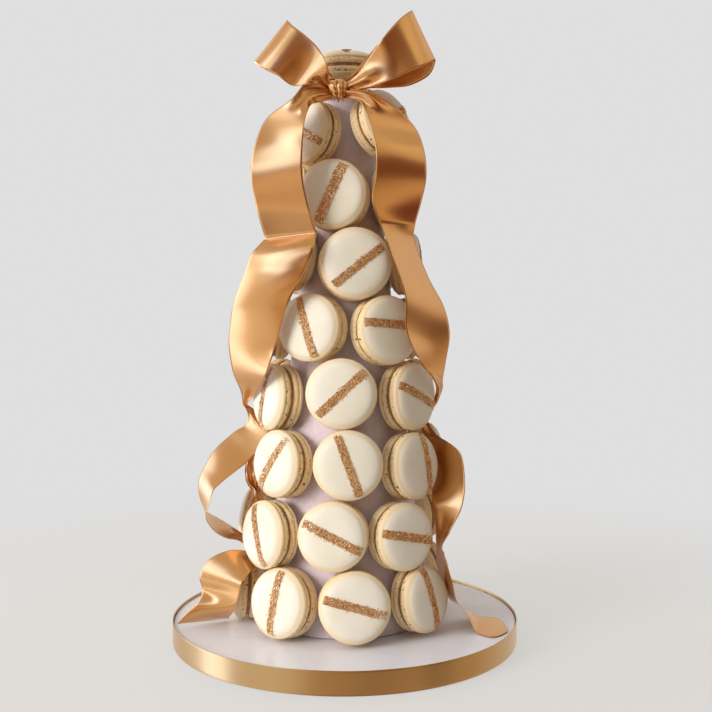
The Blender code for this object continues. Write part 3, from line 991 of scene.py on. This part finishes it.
def satin_ribbon(name, stations, pleats, seed, fullness, creases=(), crown=None, flat_width=RIBBON_WIDTH):
    """A ribbon along its stations, gathered into pleats where it is drawn narrow, and its length."""
    way = smooth_way(stations, creases)
    one, other = way[:, :3], way[:, 3:]
    middles = (one + other) / 2
    along = unit(np.gradient(middles, axis=0))
    across = other - one
    facing = -unit(np.cross(across, along))
    shares = np.linspace(0, 1, RIBBON_COLUMNS)
    travelled = np.concatenate([[0], np.cumsum(np.linalg.norm(np.diff(middles, axis=0), axis=1))])
    widths = np.linalg.norm(across, axis=1)
    lift = pleat_lift(widths, flat_width, travelled, shares, pleats, fullness, seed)
    if crown is not None:
        swell = 4 * shares * (1 - shares)
        marks = np.linspace(0, len(stations) - 1, len(way))
        keys = sorted(crown)
        lift = lift + np.interp(marks, keys, [crown[k] for k in keys])[:, None] * swell[None, :]
    points = one[:, None, :] + across[:, None, :] * shares[None, :, None]
    points = points + facing[:, None, :] * lift[:, :, None]
    for row in range(len(way)):
        for column in range(RIBBON_COLUMNS):
            place = Vector((travelled[row] * 0.05, shares[column] * 0.9, seed * 3.1))
            points[row, column] += facing[row] * WANDER * noise.noise(place)
    # Each quad runs across the ribbon first.
    faces = [(a, d, c, b) for a, b, c, d in grid_faces(len(way), RIBBON_COLUMNS)]
    return satin_piece(name, points, faces, shares * flat_width, travelled), travelled[-1] * MM


def neck_way():
    """Stations of the ribbon's way round the back of the cone's neck, from the knot and back to it."""
    way = [(-5, -42), (-12, -33)]
    for degrees in range(50, 311, 20):
        angle = math.radians(degrees)
        way.append((-NECK_RADIUS * math.sin(angle), -NECK_RADIUS * math.cos(angle)))
    way += [(11, -33), (-4, -42)]
    return [(x, y, NECK_BOTTOM, x, y, NECK_TOP) for x, y in way]


def knot_fold(share, front):
    """How far the knot's cloth stands out: broad folds before, with slots between, and gathers behind."""
    fold = 0.0
    for start, end, height in KNOT_FOLDS:
        if start <= share < end:
            fold = height * math.sqrt(math.sin(math.pi * (share - start) / (end - start)))
    gathers = KNOT_GATHERS * math.cos(3.0 * math.pi * share + 0.9) * (1 - share**6)
    return fold * front + gathers * (1 - front)


def knot():
    """The bow's knot: a turn of the ribbon drawn tight round the gathers, fanned out at its top."""
    around, across = 64, 72
    points = np.empty((around, across, 3))
    for row in range(around):
        turn = row / around * 2 * math.pi
        high = 0.5 + 0.5 * math.sin(turn)
        front = 0.5 + 0.5 * math.cos(turn)
        for column in range(across):
            share = column / (across - 1) * 2 - 1
            fold = knot_fold(share, smoothstep(*KNOT_FRONT, front))
            waist = 1 - KNOT_WAIST * share**2
            points[row, column] = (
                KNOT_CENTRE[0] + share * (KNOT_HALF_WIDTH + KNOT_FAN * high) + KNOT_SLANT * (1 - high),
                KNOT_CENTRE[1] - (KNOT_DEPTH * waist + fold) * math.cos(turn),
                KNOT_CENTRE[2] + (KNOT_HEIGHT * waist + 0.6 * fold) * math.sin(turn),
            )
    widthwise = np.arange(across) / across * RIBBON_WIDTH
    lengthwise = np.arange(around) / around * KNOT_GIRTH
    faces = grid_faces(around, across, close=True)
    piece = satin_piece("bow_knot", points, faces, widthwise, lengthwise)
    return piece


def bow():
    """The bow's loops, tails, knot and its turn round the neck, and the loose strand on the left."""
    creased = {"creases": (TAIL_CREASE,)}
    pieces = []
    for name, stations, held, seed, fullness, form in (
        ("bow_left_loop", LEFT_LOOP, "gathered", 1, 0.85, {}),
        ("bow_right_loop", RIGHT_LOOP, "gathered", 2, 0.75, {}),
        ("ribbon_left_tail", LEFT_TAIL, "hung", 3, 0.5, {**creased, "crown": LEFT_CROWN}),
        ("ribbon_right_tail", RIGHT_TAIL, "hung", 4, 0.9, creased),
    ):
        piece, length = satin_ribbon(name, stations, 1, seed, fullness, **form)
        pieces.append(piece)
    neck, length = satin_ribbon("ribbon_neck", neck_way(), 3, 6, 1.6)
    for piece in (*pieces, neck, knot()):
        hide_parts("bow_ribbon")
    strand, length = satin_ribbon("ribbon_strand_satin", STRAND, 2, 5, 1.3, flat_width=STRAND_WIDTH)
    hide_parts("ribbon_strand")


# ---- stage, light and camera ----


def floor():
    """A pale floor that fades out, so that no horizon shows."""
    radius = 0.7
    drop = 0.0002
    fade_from, fade_to = 0.15, 0.65
    mesh = bpy.data.meshes.new("floor")
    bm = bmesh.new()
    bmesh.ops.create_circle(bm, cap_ends=True, segments=96, radius=radius)
    bm.to_mesh(mesh)
    bm.free()
    piece = bpy.data.objects.new("floor", mesh)
    piece.location.z = -drop
    bpy.context.scene.collection.objects.link(piece)
    s = Shader("floor", (0.24, 0.235, 0.23), 0.8)
    s.set("Emission Color", (1.0, 0.98, 0.94, 1.0))
    s.set("Emission Strength", 0.5)
    distance = s.add("ShaderNodeVectorMath", operation="LENGTH")
    s.link(s.coordinates(), distance.inputs[0])
    s.feed("Alpha", s.ramp(distance.outputs["Value"], fade_from, fade_to, 1.0, 0.0))
    mesh.materials.append(s.material)
    piece.visible_glossy = False
    piece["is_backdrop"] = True


WINDOW_PLACE = (-1.75, -1.4, 0.8)
WINDOW_TARGET = (0, 0, 0.2)
WINDOW_SIDE = 1.1
WINDOW_POWER = 45
WINDOW_COLOUR = (0.98, 0.965, 0.97)


def window():
    """The light of a window, which isn't seen itself."""
    light = bpy.data.lights.new("window", "AREA")
    light.shape = "RECTANGLE"
    light.size = WINDOW_SIDE
    light.size_y = WINDOW_SIDE
    light.energy = WINDOW_POWER
    light.color = WINDOW_COLOUR
    lamp = bpy.data.objects.new("window", light)
    lamp.location = WINDOW_PLACE
    lamp.rotation_euler = (Vector(WINDOW_TARGET) - lamp.location).to_track_quat("-Z", "Y").to_euler()
    lamp.visible_camera = False
    lamp.visible_glossy = False
    bpy.context.scene.collection.objects.link(lamp)


class Room(NodeTree):
    """The light of a room, as colours mixed over each other by the direction they come from."""

    def __init__(self):
        world = bpy.data.worlds.new("room")
        bpy.context.scene.world = world
        world.use_nodes = True
        super().__init__(world.node_tree)
        self.direction = self.coordinates("Generated")

    def towards(self, azimuth, elevation):
        """The cosine of the angle between the light's direction and this one, which is given in degrees."""
        azimuth, elevation = math.radians(azimuth), math.radians(elevation)
        flat = math.cos(elevation)
        node = self.add("ShaderNodeVectorMath", operation="DOT_PRODUCT")
        self.link(self.direction, node.inputs[0])
        node.inputs[1].default_value = (
            math.sin(azimuth) * flat,
            -math.cos(azimuth) * flat,
            math.sin(elevation),
        )
        return node.outputs["Value"]

    def walls(self, colour, lobes):
        """A colour with others over it, each as (azimuth, elevation, outer, inner, colour): full within
        inner degrees of that direction and gone beyond outer."""
        for azimuth, elevation, outer, inner, other in lobes:
            cosine = self.towards(azimuth, elevation)
            share = self.ramp(cosine, math.cos(math.radians(outer)), math.cos(math.radians(inner)))
            colour = self.mix(share, colour, other)
        return colour

    def finish(self, lighting, mirrored, shown):
        """Lights the scene with one set of walls, mirrors another in what shines, and shows the camera
        one plain colour."""
        ray = self.add("ShaderNodeLightPath")
        colour = self.mix(ray.outputs["Is Glossy Ray"], lighting, mirrored)
        colour = self.mix(ray.outputs["Is Camera Ray"], colour, shown)
        self.link(colour, self.tree.nodes["Background"].inputs["Color"])


# Azimuth 0 is towards the camera and 90 to the right; elevation 90 is straight up.
LIGHTING_BASE = (0.26, 0.22, 0.17)
LIGHTING = (
    (0, -90, 80, 60, (0.48, 0.44, 0.37)),
    (0, 90, 70, 40, (0.74, 0.74, 0.76)),
    (180, 0, 95, 55, (0.60, 0.58, 0.56)),
    (75, 0, 60, 30, (0.19, 0.11, 0.05)),
    (-75, 10, 60, 30, (0.70, 0.68, 0.65)),
)
MIRRORED_BASE = (0.50, 0.33, 0.19)
MIRRORED = (
    # The ceiling, the pale table and the dark below it, and the wall behind.
    (0, 90, 70, 54, (0.62, 0.54, 0.40)),
    (0, -90, 76, 62, (0.74, 0.56, 0.36)),
    (0, -90, 60, 48, (0.16, 0.03, 0.022)),
    (180, 0, 95, 60, (0.72, 0.60, 0.46)),
    # A pale wall on the right, and dark red-brown things before the tower.
    (95, 24, 34, 16, (0.84, 0.78, 0.70)),
    (22, 8, 29, 17, (0.13, 0.016, 0.012)),
    (-14, 24, 19, 11, (0.15, 0.020, 0.016)),
    (61, -5, 17, 8, (0.06, 0.010, 0.008)),
    # Pale things on the left and before the tower.
    (-70, -25, 48, 24, (0.90, 0.87, 0.82)),
    (-62, 6, 30, 18, (0.80, 0.74, 0.66)),
    (-27, -3, 14, 5, (0.86, 0.74, 0.60)),
    (47, 31, 16, 7, (0.98, 0.86, 0.64)),
    # Windows on the left.
    (-91, -19, 15, 7, (2.3, 2.6, 3.2)),
    (-104, 14, 34, 16, (2.3, 2.7, 3.6)),
    (-35, 22, 11, 4, (2.2, 2.9, 4.4)),
    (-53, 31, 14, 6, (2.5, 3.3, 5.2)),
)
SHOWN = (0.74, 0.74, 0.745)


def light():
    """A soft window on the left in a pale room, of which what shines mirrors a version with more contrast."""
    room = Room()
    lighting = room.walls(LIGHTING_BASE, LIGHTING)
    mirrored = room.walls(MIRRORED_BASE, MIRRORED)
    room.finish(lighting, mirrored, SHOWN)
    window()


# The camera's place in metres, its angles in radians, and its focal length in pixels of the picture.
CAMERA_PLACE = (0.01335, -0.6841, 0.2197)
CAMERA_PITCH = 0.0457
CAMERA_YAW = -0.0086
FOCAL_PIXELS = 1020.45
PICTURE_PIXELS = 712


def camera():
    """The camera where it stands when the board and the macarons lie as in the picture."""
    pitch, yaw = CAMERA_PITCH, CAMERA_YAW
    made = bpy.data.cameras.new("camera")
    made.sensor_width = 36.0
    made.lens = FOCAL_PIXELS / PICTURE_PIXELS * made.sensor_width
    made.clip_start = 0.01
    piece = bpy.data.objects.new("camera", made)
    forward = Vector((math.sin(yaw) * math.cos(pitch), math.cos(yaw) * math.cos(pitch), -math.sin(pitch)))
    right = Vector((math.cos(yaw), -math.sin(yaw), 0))
    up = right.cross(forward)
    axes = Matrix((right, up, -forward)).transposed().to_4x4()
    piece.matrix_world = Matrix.Translation(CAMERA_PLACE) @ axes
    bpy.context.scene.collection.objects.link(piece)
    bpy.context.scene.camera = piece


MATERIALS = {
    "shell": shell_material(),
    "foot": foot_material(),
    "filling": filling_material(),
    "glitter_bed": glitter_bed_material(),
    "flakes": flake_material(),
    "satin": satin_material("copper_satin", (0.73, 0.345, 0.066), (0.66, 0.275, 0.04), 0.26),
    "band": satin_material("gold_satin", (0.54, 0.31, 0.075), (0.48, 0.26, 0.06), 0.30),
    "icing": icing_material(),
    "foam": foam_material(),
}

camera()
board()
board_band()
cone()
macarons()
bow()
floor()
light()
bpy.context.scene.view_settings.view_transform = "Standard"

boxes = {"cad": CAD_BOX, "visual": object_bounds()}
{name: [[float(x) for x in corner] for corner in found] for name, found in boxes.items()}
